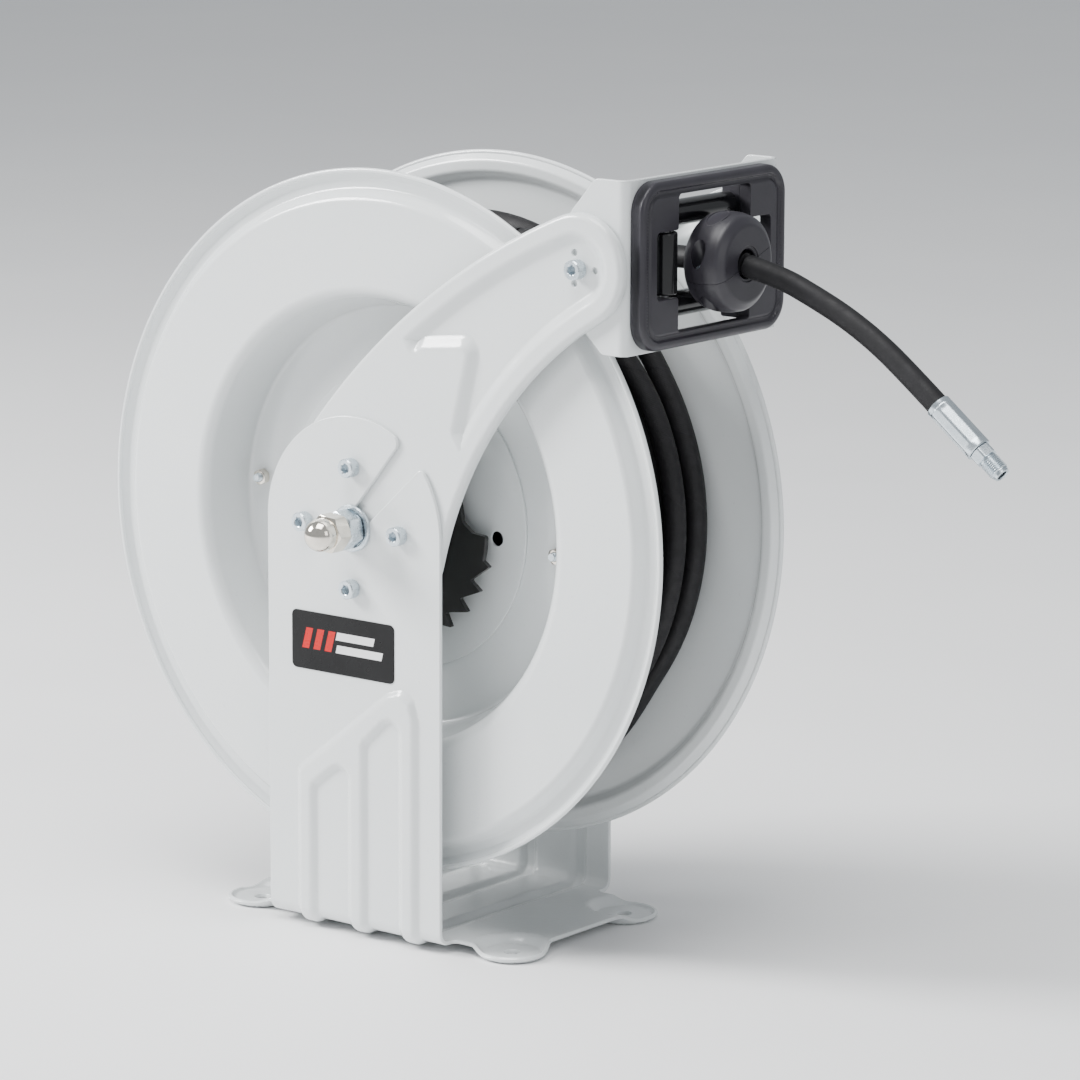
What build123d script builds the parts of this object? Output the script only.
from build123d import *
import os
from math import atan2, cos, degrees, pi, radians, sin, sqrt, tan

# Spring-rewind hose reel with a twin guide arm, in millimetres.
# +Z is up, the reel's axle lies along Y and the hose leaves towards +X.
# The origin is on the floor, at the centre of the four base holes.

# ---- driving dimensions -------------------------------------------------
AXLE_HEIGHT = 285.0
SHEET = 3.0

# base
BASE_HALF_DEPTH = 94.5
UPRIGHT_HALF_WIDTH = 76.0
FLOOR_LIFT = 6.0
BEND_RADIUS = 9.0
SLOT_INNER_HALF = 8.3
SLOT_OUTER_HALF = 11.6
SLOT_ANGLE = 47.0
FOOT_X = 112.0
FOOT_Y = 62.0
FOOT_RADIUS = 23.0
FOOT_HOLE_RADIUS = 5.2
WAIST_HALF_WIDTH = 126.0
RIB_X = (-41.0, 4.0, 49.0)
RIB_WIDTH = 18.0
RIB_CREST = 9.0
RIB_HEIGHT = 3.5

# drum
DISC_RADIUS = 240.0
DISC_SHEET = 1.5
PLATE_Y = 72.5
DISH_FLOOR_Y = 36.0
DISH_MOUTH_RADIUS = 152.0
DISH_FLOOR_RADIUS = 145.0
HUB_OPENING = 92.0
COVER_RADIUS = 104.0
CASE_RADIUS = 108.0
BARREL_RADIUS = 153.0
BARREL_HALF_WIDTH = 54.0
TIE_CIRCLE = 131.0
TIE_START_ANGLE = 175.0
TIE_COUNT = 4

# axle
AXLE_RADIUS = 10.0
AXLE_THREAD_RADIUS = 8.0
COLLAR_RADIUS = 13.0
RUNNING_GAP = 0.05

# ratchet
RATCHET_TIP = 85.0
RATCHET_ROOT = 74.0
RATCHET_LAND = 79.0
RATCHET_GAP = 59.0
RATCHET_DIVISIONS = 28
TOOTH_PITCH = 360.0 / RATCHET_DIVISIONS
TOOTH_COUNT = 10
FIRST_TOOTH_ANGLE = -16.2
RATCHET_Y = -50.0
RATCHET_SHEET = 4.0
PAWL_CIRCLE = 100.0
PAWL_ANGLE = 72.0
PAWL_SWING = 13.0
PAWL_NOSE_RADIUS = 77.5
HUB_SCREW_CIRCLE = 25.0

# arms and hose guide
ARM_SHEET = 2.5
ARM_DEPTH = 7.5
ARM_BOLT_CIRCLE = 41.5
ARM_END_X = 186.0
ARM_END_Z = 191.5
ARM_END_RADIUS = 37.0
ARM_ROOT_RADIUS = 74.0
PAN_MARGIN = 15.0
PAN_DEPTH = 5.0
GUIDE_Z = 194.0
BRACKET_FRONT_X = 221.0
BRACKET_HALF_HEIGHT = 57.0
FRAME_THICKNESS = 10.0
FRAME_HALF_WIDTH = 79.0
FRAME_HALF_HEIGHT = 55.0
ROLLER_X = 212.5
SIDE_ROLLER_X = 221.0
ROLLER_RADIUS = 8.5
ROLLER_PIN_RADIUS = 3.0
LEVEL_ROLLER_OFFSET = 29.8
SIDE_ROLLER_OFFSET = 42.5
LEVEL_ROLLER_HALF = 38.0
SIDE_ROLLER_HALF = 20.5

# hose
HOSE_RADIUS = 7.5
INNER_TURNS = 8
OUTER_TURN_Y = (-34.0, -5.0, 24.0, 53.0)
INNER_TURN_RADIUS = 160.7
OUTER_TURN_RADIUS = 178.0
LEAD_RADIUS = 186.5
LEAD_GAP = 56.0
STOPPER_RADIUS = 33.0
STOPPER_BACK_X = 222.6
STOPPER_FRONT_X = 257.0
STOPPER_Z = 192.0
STOPPER_ROLL = 20.0
STOPPER_SCREW_X = 26.0
# free hose: from the stopper's face to the ferrule, as (x, height above the axle)
HOSE_ROUTE = ((257.0, 190.6), (283.0, 185.8), (309.0, 175.8), (334.0, 165.0),
              (359.0, 151.0), (382.0, 134.5), (406.0, 115.5))
FERRULE_LENGTH = 41.0
FERRULE_RADIUS = 8.7

ARM_PLANE_Y = BASE_HALF_DEPTH - SHEET
BRACKET_Y = ARM_PLANE_Y - ARM_DEPTH


# ---- helpers ------------------------------------------------------------
def at_axle(shape):
    """Lift a shape drawn about the origin so that it sits on the axle's line."""
    return Pos(0, 0, AXLE_HEIGHT) * shape


def turned(points):
    """Solid of revolution about the axle, from (radius, y) points."""
    return at_axle(revolve(make_face(Polyline(*points, close=True)), Axis.Y))


def disc_ring(outer, inner, y_low, y_high):
    """Flat ring or tube about the axle."""
    return turned([(inner, y_low), (outer, y_low), (outer, y_high), (inner, y_high)])


def rod(radius, start, end):
    """Round bar from one point to another."""
    start = Vector(*start)
    end = Vector(*end)
    axis = end - start
    return extrude(Plane(origin=start, z_dir=axis) * Circle(radius), axis.length)


def hex_bar(across_flats, start, end):
    """Hexagonal bar from one point to another."""
    start = Vector(*start)
    end = Vector(*end)
    axis = end - start
    corner = across_flats / sqrt(3)
    return extrude(Plane(origin=start, z_dir=axis) * RegularPolygon(corner, 6), axis.length)


def polar(radius, angle):
    """Point (x, z) on a circle about the axle, in absolute height."""
    return (radius * cos(radians(angle)), AXLE_HEIGHT + radius * sin(radians(angle)))


def plate_xz(sketch, y_low, y_high):
    """Extrude a sketch drawn as (x, z) between two Y planes."""
    plane = Plane(origin=(0, y_high, 0), x_dir=(1, 0, 0), z_dir=(0, -1, 0))
    return extrude(plane * sketch, y_high - y_low)


def mirrored(shape):
    """The same part on the other side of the reel."""
    return mirror(shape, Plane.XZ)


def drop_on_y(x, z, y_low, y_high, radius):
    """Round cutter along Y."""
    return rod(radius, (x, y_low, z), (x, y_high, z))


# ---- base ---------------------------------------------------------------
def rib_profile(shrink):
    """Pressed rib's cross-section, as (across, out)."""
    half = RIB_WIDTH / 2 - shrink
    crest = RIB_CREST / 2 - shrink * 0.6
    return [(-half, -0.5), (-half, 0), (-crest, RIB_HEIGHT), (crest, RIB_HEIGHT), (half, 0), (half, -0.5)]


def rib_path(depth, bend, height):
    """Half of a rib's way: down the front upright, round the bend and to the middle of the floor."""
    low = FLOOR_LIFT + BASE_HALF_DEPTH - depth
    return FilletPolyline((0, -depth, height), (0, -depth, low), (0, 0, low), radius=bend)


def swept_rib(x, depth, bend, height, shrink):
    path = Pos(x, 0, 0) * rib_path(depth, bend, height)
    section = Plane(origin=(x, -depth, height), x_dir=(1, 0, 0), z_dir=(0, 0, -1))
    # across runs along X, out runs towards -Y
    points = [(a, b) for a, b in rib_profile(shrink)]
    return sweep(section * make_face(Polyline(*points, close=True)), path)


def band_outline(shrink):
    """Slanting raised band that joins the ribs under the label."""
    left = RIB_X[0] - RIB_WIDTH / 2 + shrink
    right = RIB_X[2] + RIB_WIDTH / 2 - shrink
    points = [(left, 90), (left, 113 - shrink), (30, 176 - shrink), (44, 181 - shrink),
              (54 - shrink * 0.5, 174 - shrink), (right, 160 - shrink), (right, 90)]
    return Polyline(*points, close=True)


def band_windows(grow):
    """Sunken panels between the ribs, under the slanting band."""
    windows = []
    for left_rib, right_rib, z_left, z_right in ((0, 1, 101, 122), (1, 2, 136, 162)):
        left = RIB_X[left_rib] + RIB_WIDTH / 2 - grow
        right = RIB_X[right_rib] - RIB_WIDTH / 2 + grow
        windows.append(Polyline((left, 60), (left, z_left + grow), (right, z_right + grow), (right, 60), close=True))
    return windows


def raised_band(shrink, y_root, height):
    """The slanting band as a solid standing out from plane y_root towards -Y."""
    slope = degrees(atan2((RIB_WIDTH - RIB_CREST) / 2, RIB_HEIGHT))
    plane = Plane(origin=(0, y_root, 0), x_dir=(1, 0, 0), z_dir=(0, -1, 0))
    band = extrude(plane * make_face(band_outline(shrink)), height, taper=slope)
    for window in band_windows(shrink):
        inner = extrude(plane * make_face(window), height + 1.0, taper=-slope)
        band -= inner
    cap = Pos(0, y_root, 45) * Box(400, 40, 90)
    return band - cap


def arch_outline():
    """Upright's outline with its open axle slot, as (x, height)."""
    wall = Pos(0, AXLE_HEIGHT / 2) * Rectangle(2 * UPRIGHT_HALF_WIDTH, AXLE_HEIGHT)
    arch = Pos(0, AXLE_HEIGHT) * Circle(UPRIGHT_HALF_WIDTH)
    slot_length = UPRIGHT_HALF_WIDTH + 20
    slot = make_face(Polyline((0, -SLOT_INNER_HALF), (slot_length, -SLOT_OUTER_HALF - 3),
                              (slot_length, SLOT_OUTER_HALF + 3), (0, SLOT_INNER_HALF), close=True))
    slot += Circle(SLOT_INNER_HALF)
    return wall + arch - Pos(0, AXLE_HEIGHT) * Rot(0, 0, SLOT_ANGLE) * slot


def foot_plate():
    """Floor of the base with its four feet, in plan."""
    y_edge = FOOT_Y + FOOT_RADIUS - 3
    plan = Rectangle(2 * (FOOT_X - 4), 2 * y_edge)
    plan += Rectangle(2 * WAIST_HALF_WIDTH, 2 * (FOOT_Y - 16))
    for x in (-FOOT_X, FOOT_X):
        for y in (-FOOT_Y, FOOT_Y):
            plan += Pos(x, y) * Circle(FOOT_RADIUS)
    return plan


def foot_wedge(x_sign, y_sign):
    """Zone of a foot, pressed down to the floor, bounded by the slanting step."""
    corner = [(FOOT_X - 26, FOOT_Y + 30), (FOOT_X - 26, FOOT_Y + 6), (FOOT_X - 4, FOOT_Y - 18),
              (FOOT_X + 30, FOOT_Y - 18), (FOOT_X + 30, FOOT_Y + 30)]
    return make_face(Polyline(*[(x_sign * x, y_sign * y) for x, y in corner], close=True))


def base_frame():
    top = AXLE_HEIGHT + UPRIGHT_HALF_WIDTH
    outer = Pos(0, (top + FLOOR_LIFT) / 2 + 20) * Rectangle(2 * BASE_HALF_DEPTH, top - FLOOR_LIFT + 40)
    inner_low = FLOOR_LIFT + SHEET
    inner = Pos(0, (top + inner_low) / 2 + 30) * Rectangle(2 * ARM_PLANE_Y, top - inner_low + 60)
    outer = fillet(outer.vertices().group_by(Axis.Y)[0], BEND_RADIUS)
    inner = fillet(inner.vertices().group_by(Axis.Y)[0], BEND_RADIUS - SHEET)
    section = outer - inner
    channel = extrude(Plane.YZ * section, UPRIGHT_HALF_WIDTH, both=True)
    channel &= plate_xz(arch_outline(), -BASE_HALF_DEPTH - 10, BASE_HALF_DEPTH + 10)

    raised = extrude(Pos(0, 0, FLOOR_LIFT) * foot_plate(), SHEET)
    for x_sign in (-1, 1):
        for y_sign in (-1, 1):
            wedge = foot_wedge(x_sign, y_sign)
            lowered = extrude(wedge & foot_plate(), SHEET)
            skirt = extrude(offset(wedge, 3, kind=Kind.INTERSECTION) & foot_plate(), FLOOR_LIFT + SHEET)
            skirt -= extrude(wedge, 40)
            raised -= extrude(wedge, 40)
            raised += skirt + lowered
            raised -= rod(FOOT_HOLE_RADIUS, (x_sign * FOOT_X, y_sign * FOOT_Y, -1),
                          (x_sign * FOOT_X, y_sign * FOOT_Y, 20))
    base = channel + raised

    bolt_z = ARM_BOLT_CIRCLE
    for x, z in ((0, bolt_z), (-bolt_z, 0), (bolt_z, 0), (0, -bolt_z)):
        base -= drop_on_y(x, AXLE_HEIGHT + z, -120, 120, 4.2)

    rib_top = (104, 138, 160)
    bulges = raised_band(0, -BASE_HALF_DEPTH + 0.01, RIB_HEIGHT)
    grooves = raised_band(2.0, -ARM_PLANE_Y + 0.01, RIB_HEIGHT)
    for x, height in zip(RIB_X, rib_top):
        bulges += swept_rib(x, BASE_HALF_DEPTH, BEND_RADIUS, height, 0)
        grooves += swept_rib(x, ARM_PLANE_Y, BEND_RADIUS - SHEET, height, 2.0)
    base += bulges + mirrored(bulges)
    base -= grooves + mirrored(grooves)
    return base


# ---- arms and guide -----------------------------------------------------
def arc_through(start, end, sagitta):
    """Arc from start to end that bulges to the left of the way by sagitta."""
    start = Vector(*start)
    end = Vector(*end)
    chord = end - start
    left = Vector(-chord.Y, chord.X) / chord.length
    return ThreePointArc(start, (start + end) / 2 + left * sagitta, end)


def arm_outline(inset):
    """Guide arm's outline, as (x, height above the axle)."""
    end_radius = ARM_END_RADIUS - inset
    root_radius = ARM_ROOT_RADIUS - inset
    upper_root = (root_radius * cos(radians(130)), root_radius * sin(radians(130)))
    lower_root = (root_radius * cos(radians(-14)), root_radius * sin(radians(-14)))
    upper_end = (ARM_END_X + end_radius * cos(radians(115)), ARM_END_Z + end_radius * sin(radians(115)))
    lower_end = (ARM_END_X + end_radius * cos(radians(-58)), ARM_END_Z + end_radius * sin(radians(-58)))
    end_tip = (ARM_END_X + end_radius * cos(radians(36)), ARM_END_Z + end_radius * sin(radians(36)))
    edges = [arc_through(upper_root, upper_end, 17.5 - inset * 0.1),
             ThreePointArc(upper_end, end_tip, lower_end),
             arc_through(lower_end, lower_root, -22.8 - inset * 0.08),
             ThreePointArc(lower_root, (root_radius * cos(radians(-127)), root_radius * sin(radians(-127))),
                           upper_root)]
    return make_face(edges)


def pan_outline(grow):
    """Sunken pan of the arm with its two lower prongs."""
    blank = arm_outline(PAN_MARGIN - grow)
    keep_points = [(50, 124), (58, 129), (93, 133), (97, 128), (84, 74), (92, 62), (150, 62), (260, 150),
                   (260, 260), (120, 260), (40, 140)]
    keep = make_face(Polyline(*keep_points, close=True))
    if grow:
        keep = offset(keep, grow, kind=Kind.INTERSECTION)
    return blank & keep


def front_arm():
    front = -ARM_PLANE_Y
    outline = Pos(0, AXLE_HEIGHT) * arm_outline(0)
    body = plate_xz(outline, front, front + ARM_DEPTH)
    body = fillet(body.edges().group_by(Axis.Y)[0], 3.5)
    cavity = Pos(0, AXLE_HEIGHT) * arm_outline(ARM_SHEET)
    body -= plate_xz(cavity, front + ARM_SHEET, front + ARM_DEPTH + 1)
    pan_plane = Plane(origin=(0, front + PAN_DEPTH, AXLE_HEIGHT), x_dir=(1, 0, 0), z_dir=(0, -1, 0))
    back = Pos(0, AXLE_HEIGHT) * pan_outline(ARM_SHEET)
    body += plate_xz(back, front + ARM_SHEET - 0.1, front + ARM_DEPTH)
    body -= extrude(pan_plane * pan_outline(-1.0), PAN_DEPTH + 2)
    for x, z in ((0, 1), (-1, 0), (1, 0), (0, -1)):
        body -= drop_on_y(x * ARM_BOLT_CIRCLE, AXLE_HEIGHT + z * ARM_BOLT_CIRCLE, -120, -60, 4.2)
    body -= drop_on_y(0, AXLE_HEIGHT, -120, -60, AXLE_THREAD_RADIUS + 0.2)
    bolt_x, bolt_z = ARM_END_X - 1, AXLE_HEIGHT + ARM_END_Z
    body -= drop_on_y(bolt_x, bolt_z, -120, -60, 4.2)
    for dx, dz in ((-3.5, 10.5), (13.0, 0.0), (-3.5, -9.5)):
        body -= drop_on_y(bolt_x + dx, bolt_z + dz, -120, -60, 2.0)
    return body


def guide_bracket():
    """White channel that carries the roller frame between the two arms."""
    outer = Pos(BRACKET_FRONT_X / 2 + 70, 0) * Rectangle(BRACKET_FRONT_X - 140, 2 * BRACKET_Y)
    inner = Pos(BRACKET_FRONT_X / 2 + 65 - SHEET, 0) * Rectangle(BRACKET_FRONT_X - 130, 2 * (BRACKET_Y - SHEET))
    outer = fillet(outer.vertices().group_by(Axis.X)[-1], 6)
    inner = fillet(inner.vertices().group_by(Axis.X)[-1], 3)
    channel = extrude(Pos(0, 0, AXLE_HEIGHT + GUIDE_Z - BRACKET_HALF_HEIGHT) * (outer - inner),
                      2 * BRACKET_HALF_HEIGHT)
    side = [(240, -57), (202, -57), (166, -22), (166, 22), (196, 57), (240, 57)]
    profile = Pos(0, AXLE_HEIGHT + GUIDE_Z) * make_face(Polyline(*side, close=True))
    channel &= plate_xz(profile, -100, 100)
    window = Pos(BRACKET_FRONT_X, 0, AXLE_HEIGHT + GUIDE_Z) * Box(20, 2 * 66.5, 2 * 46.5)
    channel -= window
    bolt_x, bolt_z = ARM_END_X - 1, AXLE_HEIGHT + ARM_END_Z
    channel -= drop_on_y(bolt_x, bolt_z, -120, 120, 4.2)
    for y in (-73, 73):
        for z in (-40, 40):
            z_mid = AXLE_HEIGHT + GUIDE_Z + z
            channel -= rod(2.2, (BRACKET_FRONT_X - 8, y, z_mid), (BRACKET_FRONT_X + 5, y, z_mid))
    return channel


def guide_frame():
    """Black moulded frame: a rimmed front plate with four blocks that hold the roller pins."""
    plane = Plane(origin=(BRACKET_FRONT_X, 0, AXLE_HEIGHT + GUIDE_Z), x_dir=(0, 1, 0), z_dir=(1, 0, 0))
    plate = extrude(plane * RectangleRounded(2 * FRAME_HALF_WIDTH, 2 * FRAME_HALF_HEIGHT, 20), FRAME_THICKNESS)
    plate = fillet(plate.edges().group_by(Axis.X)[-1], 4)
    field = RectangleRounded(2 * (FRAME_HALF_WIDTH - 8), 2 * (FRAME_HALF_HEIGHT - 8), 13)
    ring = RectangleRounded(2 * (FRAME_HALF_WIDTH - 5.5), 2 * (FRAME_HALF_HEIGHT - 5.5), 15)
    front = Plane(origin=plane.origin + Vector(FRAME_THICKNESS - 2.0, 0, 0), x_dir=(0, 1, 0), z_dir=(1, 0, 0))
    plate -= extrude(front * (ring - field), 5)
    blocks = []
    for y in (-52, 52):
        for z in (-34, 34):
            size_x = BRACKET_FRONT_X + 2 - (ROLLER_X - 7)
            centre_x = ROLLER_X - 7 + size_x / 2
            blocks.append(Pos(centre_x, y * 1.01, AXLE_HEIGHT + GUIDE_Z + z) * Box(size_x, 26, 24))
    for block in blocks:
        plate += block
    cross = Rectangle(2 * (LEVEL_ROLLER_HALF + 1), 90) + Rectangle(124, 2 * (SIDE_ROLLER_HALF + 1.5))
    deep = Plane(origin=(ROLLER_X - 20, 0, AXLE_HEIGHT + GUIDE_Z), x_dir=(0, 1, 0), z_dir=(1, 0, 0))
    plate -= extrude(deep * cross, 60)
    for z in (-LEVEL_ROLLER_OFFSET, LEVEL_ROLLER_OFFSET):
        height = AXLE_HEIGHT + GUIDE_Z + z
        plate -= rod(ROLLER_PIN_RADIUS, (ROLLER_X, -46, height), (ROLLER_X, 46, height))
    for y in (-SIDE_ROLLER_OFFSET, SIDE_ROLLER_OFFSET):
        low = AXLE_HEIGHT + GUIDE_Z - 29
        plate -= rod(ROLLER_PIN_RADIUS, (SIDE_ROLLER_X, y, low), (SIDE_ROLLER_X, y, low + 58))
    for y in (-73, 73):
        for z in (-40, 40):
            z_mid = AXLE_HEIGHT + GUIDE_Z + z
            plate -= rod(1.8, (BRACKET_FRONT_X - 1, y, z_mid), (BRACKET_FRONT_X + 6, y, z_mid))
    return plate


def roller(along_y, offset_value):
    """Guide roller with a running bore and eased ends."""
    half = LEVEL_ROLLER_HALF if along_y else SIDE_ROLLER_HALF
    body = Cylinder(ROLLER_RADIUS, 2 * half) - Cylinder(ROLLER_PIN_RADIUS + RUNNING_GAP, 2 * half + 2)
    outer_edges = body.edges().filter_by(GeomType.CIRCLE).sort_by(lambda e: e.radius)[-2:]
    body = chamfer(outer_edges, 1.0)
    if along_y:
        return Pos(ROLLER_X, 0, AXLE_HEIGHT + GUIDE_Z + offset_value) * Rot(90, 0, 0) * body
    return Pos(SIDE_ROLLER_X, offset_value, AXLE_HEIGHT + GUIDE_Z) * body


def roller_pins():
    pins = []
    for z in (-LEVEL_ROLLER_OFFSET, LEVEL_ROLLER_OFFSET):
        height = AXLE_HEIGHT + GUIDE_Z + z
        pins.append(rod(ROLLER_PIN_RADIUS, (ROLLER_X, -46, height), (ROLLER_X, 46, height)))
    for y in (-SIDE_ROLLER_OFFSET, SIDE_ROLLER_OFFSET):
        low = AXLE_HEIGHT + GUIDE_Z - 29
        pins.append(rod(ROLLER_PIN_RADIUS, (SIDE_ROLLER_X, y, low), (SIDE_ROLLER_X, y, low + 58)))
    return pins


# ---- fasteners ----------------------------------------------------------
def socket_screw(x, z, y_face, direction, shank_radius, length):
    """Socket-head cap screw along Y; its head stands out from y_face against direction."""
    head_radius = shank_radius * 1.625
    head_height = shank_radius * 2
    head = rod(head_radius, (x, y_face - direction * head_height, z), (x, y_face, z))
    socket_depth = head_height * 0.6
    socket_end = y_face - direction * (head_height - socket_depth)
    head -= hex_bar(shank_radius * 1.5, (x, y_face - direction * head_height, z), (x, socket_end, z))
    return head + rod(shank_radius, (x, y_face - 0.1 * direction, z), (x, y_face + direction * length, z))


def hex_nut(x, z, y_low, y_high, across_flats, bore):
    nut = hex_bar(across_flats, (x, y_low, z), (x, y_high, z))
    return nut - drop_on_y(x, z, y_low - 1, y_high + 1, bore)


def arm_bolt_places():
    return [(0, ARM_BOLT_CIRCLE), (-ARM_BOLT_CIRCLE, 0), (ARM_BOLT_CIRCLE, 0), (0, -ARM_BOLT_CIRCLE)]


def arm_bolts():
    """M8 cap screws on one side: four clamp the arm behind its upright, one holds the hose guide."""
    bolts = [socket_screw(x, AXLE_HEIGHT + z, -BASE_HALF_DEPTH, 1, 4.0, 16.0) for x, z in arm_bolt_places()]
    pan_face = -ARM_PLANE_Y + PAN_DEPTH
    return bolts + [socket_screw(ARM_END_X - 1, AXLE_HEIGHT + ARM_END_Z, pan_face, 1, 4.0, 16.0)]


def arm_nuts():
    low = -ARM_PLANE_Y + ARM_SHEET
    nuts = [hex_nut(x, AXLE_HEIGHT + z, low, low + 6.5, 13, 4.0) for x, z in arm_bolt_places()]
    low = -BRACKET_Y + SHEET
    return nuts + [hex_nut(ARM_END_X - 1, AXLE_HEIGHT + ARM_END_Z, low, low + 6.5, 13, 4.0)]


def guide_screws():
    screws = []
    for y in (-73, 73):
        for z in (-40, 40):
            height = AXLE_HEIGHT + GUIDE_Z + z
            back = BRACKET_FRONT_X - SHEET
            head = rod(4.0, (back - 2.6, y, height), (back, y, height))
            screws.append(head + rod(1.8, (back - 0.1, y, height), (back + 8.5, y, height)))
    return screws


# ---- axle ---------------------------------------------------------------
def axle_shaft():
    shoulder = ARM_PLANE_Y - ARM_SHEET
    points = [(0, -128), (AXLE_THREAD_RADIUS, -128), (AXLE_THREAD_RADIUS, -shoulder), (COLLAR_RADIUS, -shoulder),
              (COLLAR_RADIUS, -shoulder + 6), (AXLE_RADIUS, -shoulder + 6), (AXLE_RADIUS, shoulder - 6),
              (COLLAR_RADIUS, shoulder - 6), (COLLAR_RADIUS, shoulder), (AXLE_THREAD_RADIUS, shoulder),
              (AXLE_THREAD_RADIUS, 126), (0, 126)]
    shaft = turned(points)
    shaft -= rod(4.0, (0, 56, AXLE_HEIGHT), (0, 130, AXLE_HEIGHT))
    shaft -= rod(3.0, (-12, 58, AXLE_HEIGHT), (12, 58, AXLE_HEIGHT))
    return shaft


def axle_washer():
    return disc_ring(16.0, AXLE_THREAD_RADIUS, -BASE_HALF_DEPTH - 3, -BASE_HALF_DEPTH)


def axle_nut():
    low = -BASE_HALF_DEPTH - 16
    return hex_nut(0, AXLE_HEIGHT, low, low + 13, 24, AXLE_THREAD_RADIUS)


def acorn_nut():
    seat = -BASE_HALF_DEPTH - 16
    body = hex_bar(24, (0, seat - 12, AXLE_HEIGHT), (0, seat, AXLE_HEIGHT))
    dome = Pos(0, seat - 16.5, AXLE_HEIGHT) * Sphere(11.4)
    neck = rod(11.4, (0, seat - 16.5, AXLE_HEIGHT), (0, seat - 11, AXLE_HEIGHT))
    cap = dome & Pos(0, seat - 16.5 - 15, AXLE_HEIGHT) * Box(60, 30, 60)
    bore = rod(AXLE_THREAD_RADIUS, (0, seat - 18, AXLE_HEIGHT), (0, seat + 1, AXLE_HEIGHT))
    return body + neck + cap - bore


def inlet_elbow():
    """Elbow that screws on the axle's hollow rear end, with its female port facing down."""
    body = rod(13.0, (0, 112, AXLE_HEIGHT), (0, 139, AXLE_HEIGHT))
    body += Pos(0, 130, AXLE_HEIGHT) * Sphere(13.0)
    leg = rod(13.0, (0, 130, AXLE_HEIGHT), (0, 130, AXLE_HEIGHT - 26))
    collar = hex_bar(27, (0, 130, AXLE_HEIGHT - 38), (0, 130, AXLE_HEIGHT - 26))
    body = (body + leg + collar) & Pos(0, 127, AXLE_HEIGHT - 14) * Box(60, 32, 60)
    body -= rod(AXLE_THREAD_RADIUS, (0, 100, AXLE_HEIGHT), (0, 126, AXLE_HEIGHT))
    body -= rod(4.5, (0, 126, AXLE_HEIGHT), (0, 130, AXLE_HEIGHT))
    body -= rod(4.5, (0, 130, AXLE_HEIGHT), (0, 130, AXLE_HEIGHT - 26))
    body -= rod(8.3, (0, 130, AXLE_HEIGHT - 44), (0, 130, AXLE_HEIGHT - 24))
    return body


# ---- drum ---------------------------------------------------------------
def disc_profile():
    """Middle line of a drum disc's sheet, as (radius, distance in from the plate's plane)."""
    dish = PLATE_Y - DISH_FLOOR_Y
    return [(HUB_OPENING, dish), (DISH_FLOOR_RADIUS - 1, dish), (DISH_MOUTH_RADIUS + 3, 0),
            (219.5, 0), (225.5, 8.2), (232.5, 8.6), (DISC_RADIUS - 1.8, 4.6)]


def drum_disc(hub_radius):
    """Front drum disc: dished middle, flat ring, rolled groove and a hemmed rim."""
    points = disc_profile()
    points[0] = (hub_radius, points[0][1])
    line = FilletPolyline(*points, radius=[4.0, 9.0, 5.0, 4.0, 3.0])
    sheet = trace(line, DISC_SHEET)
    hem = Pos(DISC_RADIUS - 1.8, 4.6) * Circle(1.8)
    face = sheet + hem
    drop = -PLATE_Y + DISC_SHEET / 2
    return at_axle(revolve(Pos(0, drop) * face, Axis.Y))


def tie_places():
    return [polar(TIE_CIRCLE, TIE_START_ANGLE + 360 / TIE_COUNT * k) for k in range(TIE_COUNT)]


def front_disc():
    disc = drum_disc(HUB_OPENING)
    for x, z in tie_places():
        disc -= drop_on_y(x, z, -60, -20, 3.1)
    return disc


def rear_disc():
    disc = mirrored(drum_disc(14.0))
    for x, z in tie_places():
        disc -= drop_on_y(x, z, 20, 60, 3.1)
    disc -= rod(6.6, polar_3d(130.0, 200.0, 58), polar_3d(175.0, 200.0, 58))
    for x, z in hub_screw_places():
        disc -= drop_on_y(x, z, 20, 60, 2.5)
    return disc


def polar_3d(radius, angle, y):
    x, z = polar(radius, angle)
    return (x, y, z)


def drum_barrel():
    """Rolled ring that the discs' conical dishes centre when the tie bolts draw them together."""
    ring = disc_ring(BARREL_RADIUS, BARREL_RADIUS - 1.5, -BARREL_HALF_WIDTH, BARREL_HALF_WIDTH)
    return ring - rod(6.6, polar_3d(130.0, 200.0, 58), polar_3d(175.0, 200.0, 58))


def tie_bolts():
    bolts = []
    for x, z in tie_places():
        shank = rod(3.0, (x, -DISH_FLOOR_Y - 9, z), (x, DISH_FLOOR_Y + 0.1, z))
        bolts.append(shank + hex_bar(10, (x, DISH_FLOOR_Y, z), (x, DISH_FLOOR_Y + 4, z)))
    return bolts


def tie_nuts():
    return [hex_nut(x, z, -DISH_FLOOR_Y - 5.5, -DISH_FLOOR_Y, 10, 3.0) for x, z in tie_places()]


def spring_case():
    mouth = -DISH_FLOOR_Y + DISC_SHEET
    points = [(18, 8), (CASE_RADIUS - 3, 8), (CASE_RADIUS, 5), (CASE_RADIUS, mouth), (CASE_RADIUS - 1.5, mouth),
              (CASE_RADIUS - 1.5, 5), (CASE_RADIUS - 3.5, 6.5), (18, 6.5)]
    return turned(points)


def spring_cover():
    cover = turned([(14, -40.5), (32, -40.5), (36, -38), (COVER_RADIUS, -38), (COVER_RADIUS, -36), (36, -36),
                    (32, -36), (14, -36)])
    for x, z in hub_screw_places():
        cover -= drop_on_y(x, z, -60, -20, 2.5)
    return cover - drop_on_y(79.1, AXLE_HEIGHT - 6.2, -50, -20, 5.0)


def spring_arbor():
    """Sleeve keyed to the axle that holds the power spring's inner end."""
    return disc_ring(16.0, AXLE_RADIUS, -30, 4)


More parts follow.
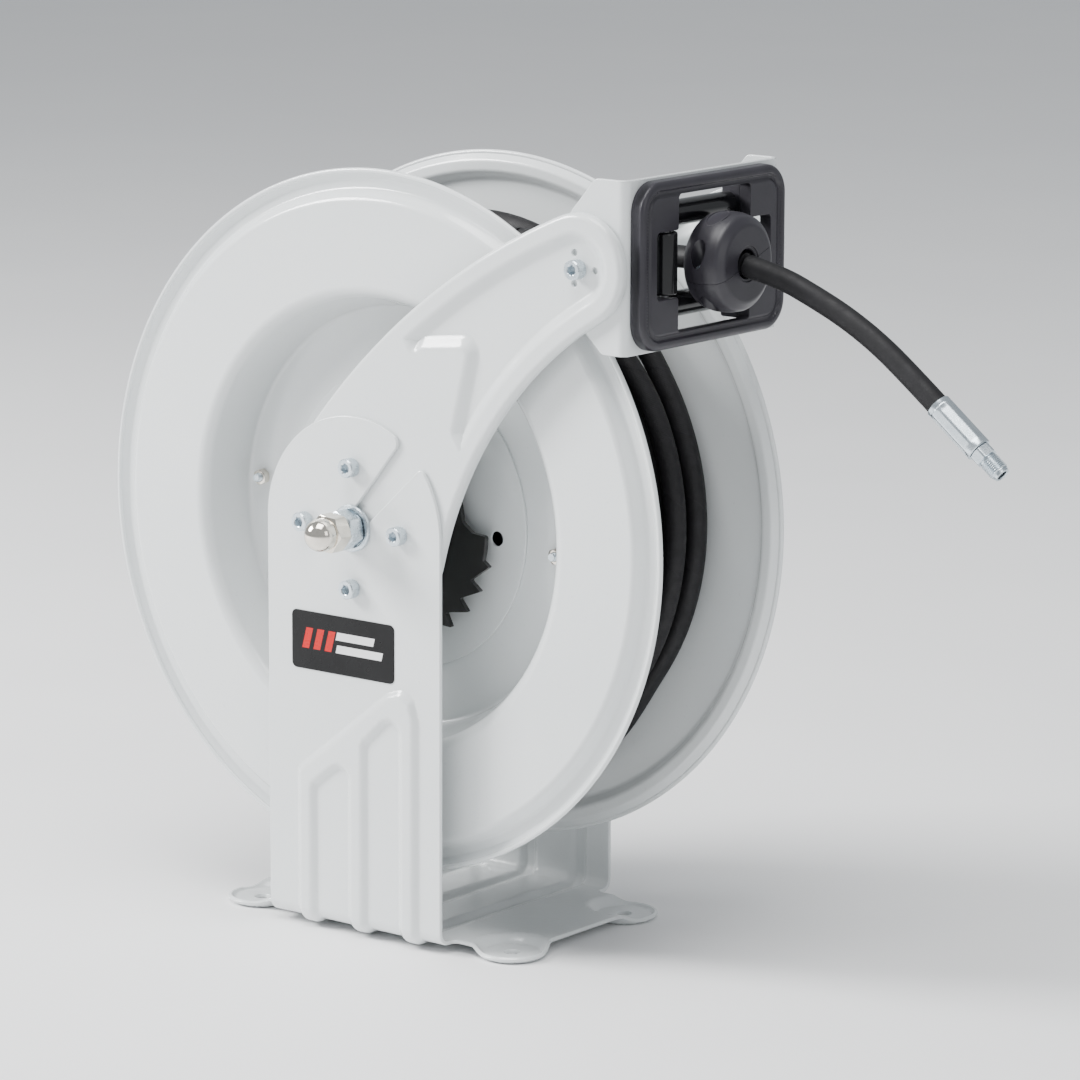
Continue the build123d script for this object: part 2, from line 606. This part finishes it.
def power_spring():
    """Flat steel spiral spring, as half-circle arcs about two alternating centres."""
    coils = 11
    thickness = 1.4
    step = (CASE_RADIUS - 5.0 - 16.0 - thickness) / coils
    outer_edges = []
    inner_edges = []
    radius = 16.0 + thickness + 0.5
    point = Vector(-radius, 0)
    side = 1
    for half_turn in range(2 * coils - 1):
        radius += step / 2
        width = 2 * radius - step / 2
        start = point
        end = Vector(start.X + side * width, 0)
        middle = (start + end) / 2
        top = Vector(middle.X, side * width / 2)
        outer_edges.append((start, top, end))
        inner_edges.append((start + Vector(side * thickness, 0), top - Vector(0, side * thickness),
                            end - Vector(side * thickness, 0)))
        point = end
        side = -side
    edges = [ThreePointArc(*arc) for arc in outer_edges]
    edges.append(Line(outer_edges[-1][2], inner_edges[-1][2]))
    edges += [ThreePointArc(*reversed(arc)) for arc in reversed(inner_edges)]
    edges.append(Line(inner_edges[0][0], outer_edges[0][0]))
    return plate_xz(Pos(0, AXLE_HEIGHT) * make_face(edges), -28, 2)


def ratchet_outline():
    """Ratchet wheel with two toothed sectors, as (x, z) about the axle."""
    points = []
    for first in (FIRST_TOOTH_ANGLE, FIRST_TOOTH_ANGLE + 180):
        gap_start = first + 14.0
        points += [(RATCHET_GAP, gap_start + 34), (RATCHET_GAP, gap_start + 6)]
        points += [(RATCHET_GAP + 8, gap_start + 0.5), (RATCHET_LAND, gap_start), (RATCHET_LAND, first + 1.5)]
        for k in range(TOOTH_COUNT):
            tip = first - TOOTH_PITCH * k
            points += [(RATCHET_TIP, tip), (RATCHET_ROOT, tip - TOOTH_PITCH + 1.2)]
    return Polyline(*[(r * cos(radians(a)), r * sin(radians(a))) for r, a in points], close=True)


def ratchet_wheel():
    disc = plate_xz(Pos(0, AXLE_HEIGHT) * make_face(ratchet_outline()), RATCHET_Y, RATCHET_Y + RATCHET_SHEET)
    disc += disc_ring(30, 20, RATCHET_Y + 1, -40.5)
    disc -= disc_ring(20, 0, RATCHET_Y - 1, RATCHET_Y + RATCHET_SHEET + 1)
    for x, z in hub_screw_places():
        disc -= drop_on_y(x, z, -60, -30, 2.5)
    return disc


def hub_screw_places():
    return [polar(HUB_SCREW_CIRCLE, 45 + 90 * k) for k in range(4)]


def hub_screws():
    """Eight M5 button screws: four hold the ratchet wheel, four hold the swivel."""
    screws = []
    for x, z in hub_screw_places():
        screws.append(rod(4.4, (x, RATCHET_Y - 3, z), (x, RATCHET_Y, z)) +
                      rod(2.5, (x, RATCHET_Y - 0.1, z), (x, -34, z)))
        screws.append(rod(4.4, (x, 41, z), (x, 44, z)) + rod(2.5, (x, 28, z), (x, 41.1, z)))
    return screws


def front_bush():
    return turned([(AXLE_RADIUS + RUNNING_GAP, -46), (18, -46), (18, -40.5), (14, -40.5), (14, -33),
                   (AXLE_RADIUS + RUNNING_GAP, -33)])


def rear_bush():
    return turned([(AXLE_RADIUS + RUNNING_GAP, 28), (18, 28), (18, 34.5), (14, 34.5), (14, 40),
                   (AXLE_RADIUS + RUNNING_GAP, 40)])


def swivel_hub():
    """Brass swivel that turns with the drum on the fixed axle and feeds the hose."""
    bore = AXLE_RADIUS + RUNNING_GAP
    points = [(14, 36), (30, 36), (30, 41), (20, 41), (20, 74), (bore, 74), (bore, 69), (12, 69), (12, 66),
              (bore, 66), (bore, 50), (12, 50), (12, 47), (bore, 47), (bore, 40), (14, 40)]
    hub = turned(points)
    start = polar_3d(8.0, 200.0, 58)
    hub += rod(8.0, polar_3d(17.0, 200.0, 58), polar_3d(26.0, 200.0, 58))
    hub -= disc_ring(bore, 0, 30, 80)
    hub -= rod(4.0, start, polar_3d(30.0, 200.0, 58))
    for x, z in hub_screw_places():
        hub -= drop_on_y(x, z, 20, 60, 2.5)
    return hub


def swivel_seals():
    """Two O-rings squeezed between the swivel and the axle."""
    rings = []
    for y in (48.5, 67.5):
        rings.append(turned([(AXLE_RADIUS + RUNNING_GAP, y - 1.3), (12, y - 1.3), (12, y + 1.3),
                             (AXLE_RADIUS + RUNNING_GAP, y + 1.3)]))
    return rings


def feed_pipe():
    """Steel pipe from the swivel through the dish wall to the first turn of hose."""
    pipe = rod(6.0, polar_3d(26.0, 200.0, 58), polar_3d(152.0, 200.0, 58))
    pipe += hex_bar(17, polar_3d(26.0, 200.0, 58), polar_3d(36.0, 200.0, 58))
    return pipe - rod(4.0, polar_3d(20.0, 200.0, 58), polar_3d(156.0, 200.0, 58))


# ---- pawl ---------------------------------------------------------------
def pawl_pivot():
    return polar(PAWL_CIRCLE, PAWL_ANGLE)


def pawl_bolt():
    """Shouldered bolt from the front arm; the pawl swings on its thin end."""
    x, z = pawl_pivot()
    bolt = rod(7.0, (x, -ARM_PLANE_Y + ARM_SHEET, z), (x, -59, z))
    bolt += rod(5.0, (x, -59.1, z), (x, -51.2, z))
    bolt += rod(4.0, (x, -51.3, z), (x, -45.4, z))
    return bolt + rod(6.5, (x, -45.5, z), (x, -43, z))


def ratchet_pawl():
    """Pawl, lifted clear of the teeth; swinging it in about its bolt stops the drum rewinding."""
    x, z = pawl_pivot()
    blocked_tip = FIRST_TOOTH_ANGLE + 180 - 9 * TOOTH_PITCH
    nose = polar(PAWL_NOSE_RADIUS, blocked_tip + 2.2)
    shape = [nose, polar(93.0, blocked_tip + 18), polar(92.5, PAWL_ANGLE), polar(107.0, PAWL_ANGLE + 3),
             polar(107.5, PAWL_ANGLE - 4), polar(90.5, blocked_tip + 5.5), polar(82.0, blocked_tip + 1.9)]
    blade = make_face(Polyline(*shape, close=True)) + Pos(x, z) * Circle(8.5)
    body = plate_xz(blade, RATCHET_Y - 0.5, RATCHET_Y + RATCHET_SHEET)
    body -= drop_on_y(x, z, -60, -40, 4.0 + RUNNING_GAP)
    return body.rotate(Axis((x, 0, z), (0, 1, 0)), -PAWL_SWING)


def pawl_spring():
    """Torsion spring round the pawl's bolt, as a sleeve of its outer shape."""
    x, z = pawl_pivot()
    return rod(7.8, (x, -58.5, z), (x, -51.4, z)) - rod(5.4, (x, -70, z), (x, -40, z))


# ---- hose ---------------------------------------------------------------
def wound_hose():
    """Closed outer shape of the wound hose: an inner layer and a looser outer one."""
    pitch = 2 * HOSE_RADIUS + 0.8
    half = (INNER_TURNS - 1) / 2 * pitch
    floor = INNER_TURN_RADIUS - HOSE_RADIUS
    section = make_face(Polyline((floor, -half), (INNER_TURN_RADIUS, -half), (INNER_TURN_RADIUS, half),
                                 (floor, half), close=True))
    for k in range(INNER_TURNS):
        section += Pos(INNER_TURN_RADIUS, -half + pitch * k) * Circle(HOSE_RADIUS)
    for y in OUTER_TURN_Y:
        section += Pos(OUTER_TURN_RADIUS, y) * Circle(HOSE_RADIUS)
        web = 2 * HOSE_RADIUS - 5
        middle = (OUTER_TURN_RADIUS + INNER_TURN_RADIUS) / 2
        section += Pos(middle, y) * Rectangle(OUTER_TURN_RADIUS - INNER_TURN_RADIUS, web)
    return at_axle(revolve(section, Axis.Y))


def lead_start():
    """Point where the lead clears the turning hose, on the line that leaves the drum's top."""
    reach = sqrt(STOPPER_BACK_X ** 2 + STOPPER_Z ** 2)
    turn = degrees(atan2(STOPPER_Z, STOPPER_BACK_X)) + degrees(atan2(
        sqrt(reach ** 2 - LEAD_RADIUS ** 2), LEAD_RADIUS))
    x, z = polar(LEAD_RADIUS, turn)
    along = radians(turn - 90)
    return (x + LEAD_GAP * cos(along), z + LEAD_GAP * sin(along))


def hose_lead():
    """Hose from the drum to the guide, parted where it joins the turning winding."""
    x, z = lead_start()
    bend = (STOPPER_BACK_X + 2, 0, AXLE_HEIGHT + STOPPER_Z)
    lead = rod(HOSE_RADIUS, (x, 18.0, z), bend)
    lead += Pos(*bend) * Sphere(HOSE_RADIUS)
    return lead + rod(HOSE_RADIUS, bend, (STOPPER_FRONT_X - 2, 0, AXLE_HEIGHT + STOPPER_Z - 0.5))


def stopper_half(upper):
    """Half of the ball stop that is clamped round the hose."""
    length = STOPPER_FRONT_X - STOPPER_BACK_X
    ring = make_face([Line((8.4, 0), (20.0, 0)), ThreePointArc((20.0, 0), (29.5, 4.0), (STOPPER_RADIUS, 12.0)),
                      Line((STOPPER_RADIUS, 12.0), (STOPPER_RADIUS, 24.0)),
                      ThreePointArc((STOPPER_RADIUS, 24.0), (30.5, 31.0), (25.0, length)),
                      Line((25.0, length), (10.5, length)), Line((10.5, length), (10.5, length - 8)),
                      Line((10.5, length - 8), (8.4, length - 12)), Line((8.4, length - 12), (8.4, 0))])
    body = revolve(ring, Axis.Y)
    side = 1 if upper else -1
    half = Pos(0, length / 2, side * 30.1) * Box(80, 80, 60)
    body &= half
    for x in (-STOPPER_SCREW_X, STOPPER_SCREW_X):
        body -= Pos(x, 17, 0) * Cylinder(2.2, 80)
        if upper:
            body -= Pos(x, 17, 4.5 + 25) * Cylinder(5.5, 50)
        else:
            body -= Pos(x, 17, -6.0 - 25) * Cylinder(5.5, 50)
    # local Y is the hose's way: turn it to +X, then roll about it
    return Pos(STOPPER_BACK_X, 0, AXLE_HEIGHT + STOPPER_Z) * Rot(STOPPER_ROLL, 0, 0) * Rot(0, 0, -90) * body


def stopper_place(shape):
    return Pos(STOPPER_BACK_X, 0, AXLE_HEIGHT + STOPPER_Z) * Rot(STOPPER_ROLL, 0, 0) * Rot(0, 0, -90) * shape


def stopper_screws():
    screws = []
    for x in (-STOPPER_SCREW_X, STOPPER_SCREW_X):
        head = Pos(x, 17, 4.5 + 2.25) * Cylinder(4.4, 4.5)
        head -= Pos(x, 17, 6.5) * extrude(RegularPolygon(2.3, 6), 4)
        shank = Pos(x, 17, -3) * Cylinder(2.2, 17)
        screws.append(stopper_place(head + shank))
    return screws


def stopper_nuts():
    nuts = []
    for x in (-STOPPER_SCREW_X, STOPPER_SCREW_X):
        nut = Pos(x, 17, -10.0) * extrude(RegularPolygon(4.6, 6), 4.0) - Pos(x, 17, 0) * Cylinder(2.2, 60)
        nuts.append(stopper_place(nut))
    return nuts


def route_points():
    return [Vector(x, 0, AXLE_HEIGHT + z) for x, z in HOSE_ROUTE]


def route_radii():
    """Largest arc at each inner point: 0.45 of the shorter run over the tangent of half the turn."""
    points = route_points()
    radii = []
    for before, here, after in zip(points, points[1:], points[2:]):
        run_in = here - before
        run_out = after - here
        half_turn = radians(run_in.get_angle(run_out)) / 2
        radii.append(0.45 * min(run_in.length, run_out.length) / tan(half_turn))
    return radii


def hose_end():
    points = route_points()
    radii = route_radii()
    path = FilletPolyline(*points, radius=radii)
    start = Plane(origin=points[0], z_dir=points[1] - points[0])
    tube = sweep(start * Circle(HOSE_RADIUS), path)
    length = path.length
    print("free hose: length %.1f, radii %s" % (length, ", ".join("%.0f" % r for r in radii)))
    print("free hose: volume %.0f, section times length %.0f" % (tube.volume, pi * HOSE_RADIUS ** 2 * length))
    return tube


def fitting_plane():
    points = route_points()
    return Plane(origin=points[-1], z_dir=points[-1] - points[-2])


def ferrule():
    """Crimped steel ferrule with eight flats."""
    body = extrude(fitting_plane() * Circle(FERRULE_RADIUS), FERRULE_LENGTH)
    crimp = extrude(fitting_plane() * RegularPolygon(FERRULE_RADIUS * 1.035, 8), FERRULE_LENGTH)
    return body & crimp


def hose_fitting():
    """Hexagon and male threaded nose on the hose's end."""
    plane = fitting_plane()
    hexagon = extrude(plane.offset(FERRULE_LENGTH) * RegularPolygon(8.2, 6), 8.0)
    thread = extrude(plane.offset(FERRULE_LENGTH + 8.0) * Circle(6.6), 12.5)
    nose = extrude(plane.offset(FERRULE_LENGTH + 20.5) * Circle(5.4), 2.5)
    bore = extrude(plane.offset(FERRULE_LENGTH + 1.0) * Circle(3.6), 30.0)
    return hexagon + thread + nose - bore


def label_plate():
    """Blank badge on the front upright."""
    face = Pos(-8.8, AXLE_HEIGHT - 82.5) * RectangleRounded(90.5, 40.5, 4)
    return plate_xz(face, -BASE_HALF_DEPTH - 0.6, -BASE_HALF_DEPTH)


# ---- write --------------------------------------------------------------
def group(solids):
    return Compound(children=[s for item in solids for s in item.solids()])


def build_all():
    front = front_arm()
    bolts, nuts = arm_bolts(), arm_nuts()
    washer, nut = axle_washer(), axle_nut()
    parts = {
        "base_frame": base_frame(),
        "label_plate": label_plate(),
        "front_arm": front,
        "rear_arm": mirrored(front),
        "arm_bolts": group(bolts + [mirrored(b) for b in bolts]),
        "arm_nuts": group(nuts + [mirrored(n) for n in nuts]),
        "axle_shaft": axle_shaft(),
        "axle_washers": group([washer, mirrored(washer)]),
        "axle_nuts": group([nut, mirrored(nut)]),
        "acorn_nut": acorn_nut(),
        "inlet_elbow": inlet_elbow(),
        "spring_arbor": spring_arbor(),
        "guide_bracket": guide_bracket(),
        "guide_frame": guide_frame(),
        "guide_screws": group(guide_screws()),
        "roller_pins": group(roller_pins()),
        "roller_top": roller(True, LEVEL_ROLLER_OFFSET),
        "roller_bottom": roller(True, -LEVEL_ROLLER_OFFSET),
        "roller_front": roller(False, -SIDE_ROLLER_OFFSET),
        "roller_rear": roller(False, SIDE_ROLLER_OFFSET),
        "front_disc": front_disc(),
        "rear_disc": rear_disc(),
        "drum_barrel": drum_barrel(),
        "tie_bolts": group(tie_bolts()),
        "tie_nuts": group(tie_nuts()),
        "spring_case": spring_case(),
        "spring_cover": spring_cover(),
        "power_spring": power_spring(),
        "ratchet_wheel": ratchet_wheel(),
        "hub_screws": group(hub_screws()),
        "front_bush": front_bush(),
        "rear_bush": rear_bush(),
        "swivel_hub": swivel_hub(),
        "swivel_seals": group(swivel_seals()),
        "feed_pipe": feed_pipe(),
        "pawl_bolt": pawl_bolt(),
        "ratchet_pawl": ratchet_pawl(),
        "pawl_spring": pawl_spring(),
        "wound_hose": wound_hose(),
        "hose_lead": hose_lead(),
        "stopper_upper": stopper_half(True),
        "stopper_lower": stopper_half(False),
        "stopper_screws": group(stopper_screws()),
        "stopper_nuts": group(stopper_nuts()),
        "hose_end": hose_end(),
        "ferrule": ferrule(),
        "hose_fitting": hose_fitting(),
    }
    return parts


os.makedirs("parts", exist_ok=True)
for node, shape in build_all().items():
    export_step(shape, "parts/%s.step" % node)
